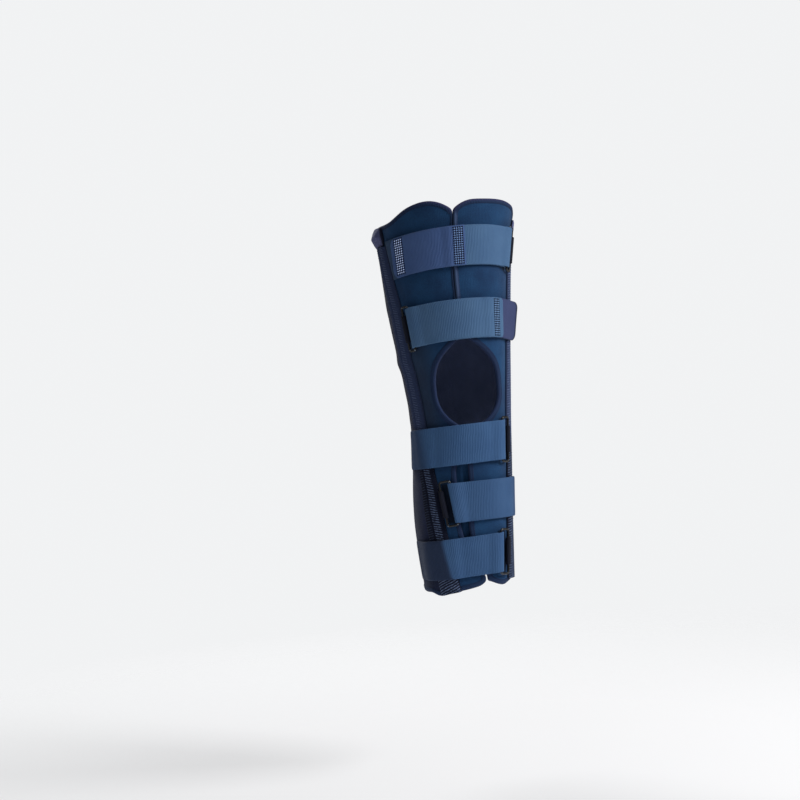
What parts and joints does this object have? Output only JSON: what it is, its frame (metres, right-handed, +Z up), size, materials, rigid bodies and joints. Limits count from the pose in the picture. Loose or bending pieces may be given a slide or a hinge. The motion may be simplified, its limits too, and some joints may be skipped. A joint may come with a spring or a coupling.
{
  "type": "knee splint",
  "caption": "Long padded wrap for a straight leg, open at the front and round the kneecap, with ribbed stay pockets down the sides and straps that fold back through rectangular rings.",
  "frame": {"origin": "middle of the knee, on the axis of the hollow for the leg", "axes": "+Z up the leg, -Y the front of the knee, +X the outer side of the leg"},
  "size_m": [0.1889, 0.1883, 0.4944],
  "materials": {
    "panel_fabric": "matte",
    "back_fabric": "matte",
    "binding_tape": "matte",
    "ribbed_webbing": "matte",
    "light_strap": "matte",
    "mid_strap": "matte",
    "hook_tape": "satin",
    "keeper_webbing": "matte",
    "ring_metal": "gloss"
  },
  "bodies": {
    "root": {"medial_panel": "panel_fabric", "lateral_panel": "panel_fabric", "back_panel": "back_fabric", "medial_binding": "binding_tape", "lateral_binding": "binding_tape", "back_top_binding": "binding_tape", "back_bottom_binding": "binding_tape", "front_flap": "hook_tape", "medial_stay_pocket": "ribbed_webbing", "lateral_stay_pocket": "ribbed_webbing", "medial_pocket_end": "hook_tape", "lateral_pocket_end": "hook_tape", "strap_1": "light_strap", "strap_2": "light_strap", "strap_3": "mid_strap", "strap_4": "mid_strap", "strap_5": "mid_strap", "strap_1_tab": "hook_tape", "strap_2_tab": "hook_tape", "ring_1": "ring_metal", "ring_2": "ring_metal", "ring_3": "ring_metal", "ring_4": "ring_metal", "ring_5": "ring_metal", "ring_keeper_1": "keeper_webbing", "ring_keeper_2": "keeper_webbing", "ring_keeper_3": "keeper_webbing", "ring_keeper_4": "keeper_webbing", "ring_keeper_5": "keeper_webbing"}
  },
  "joints": []
}
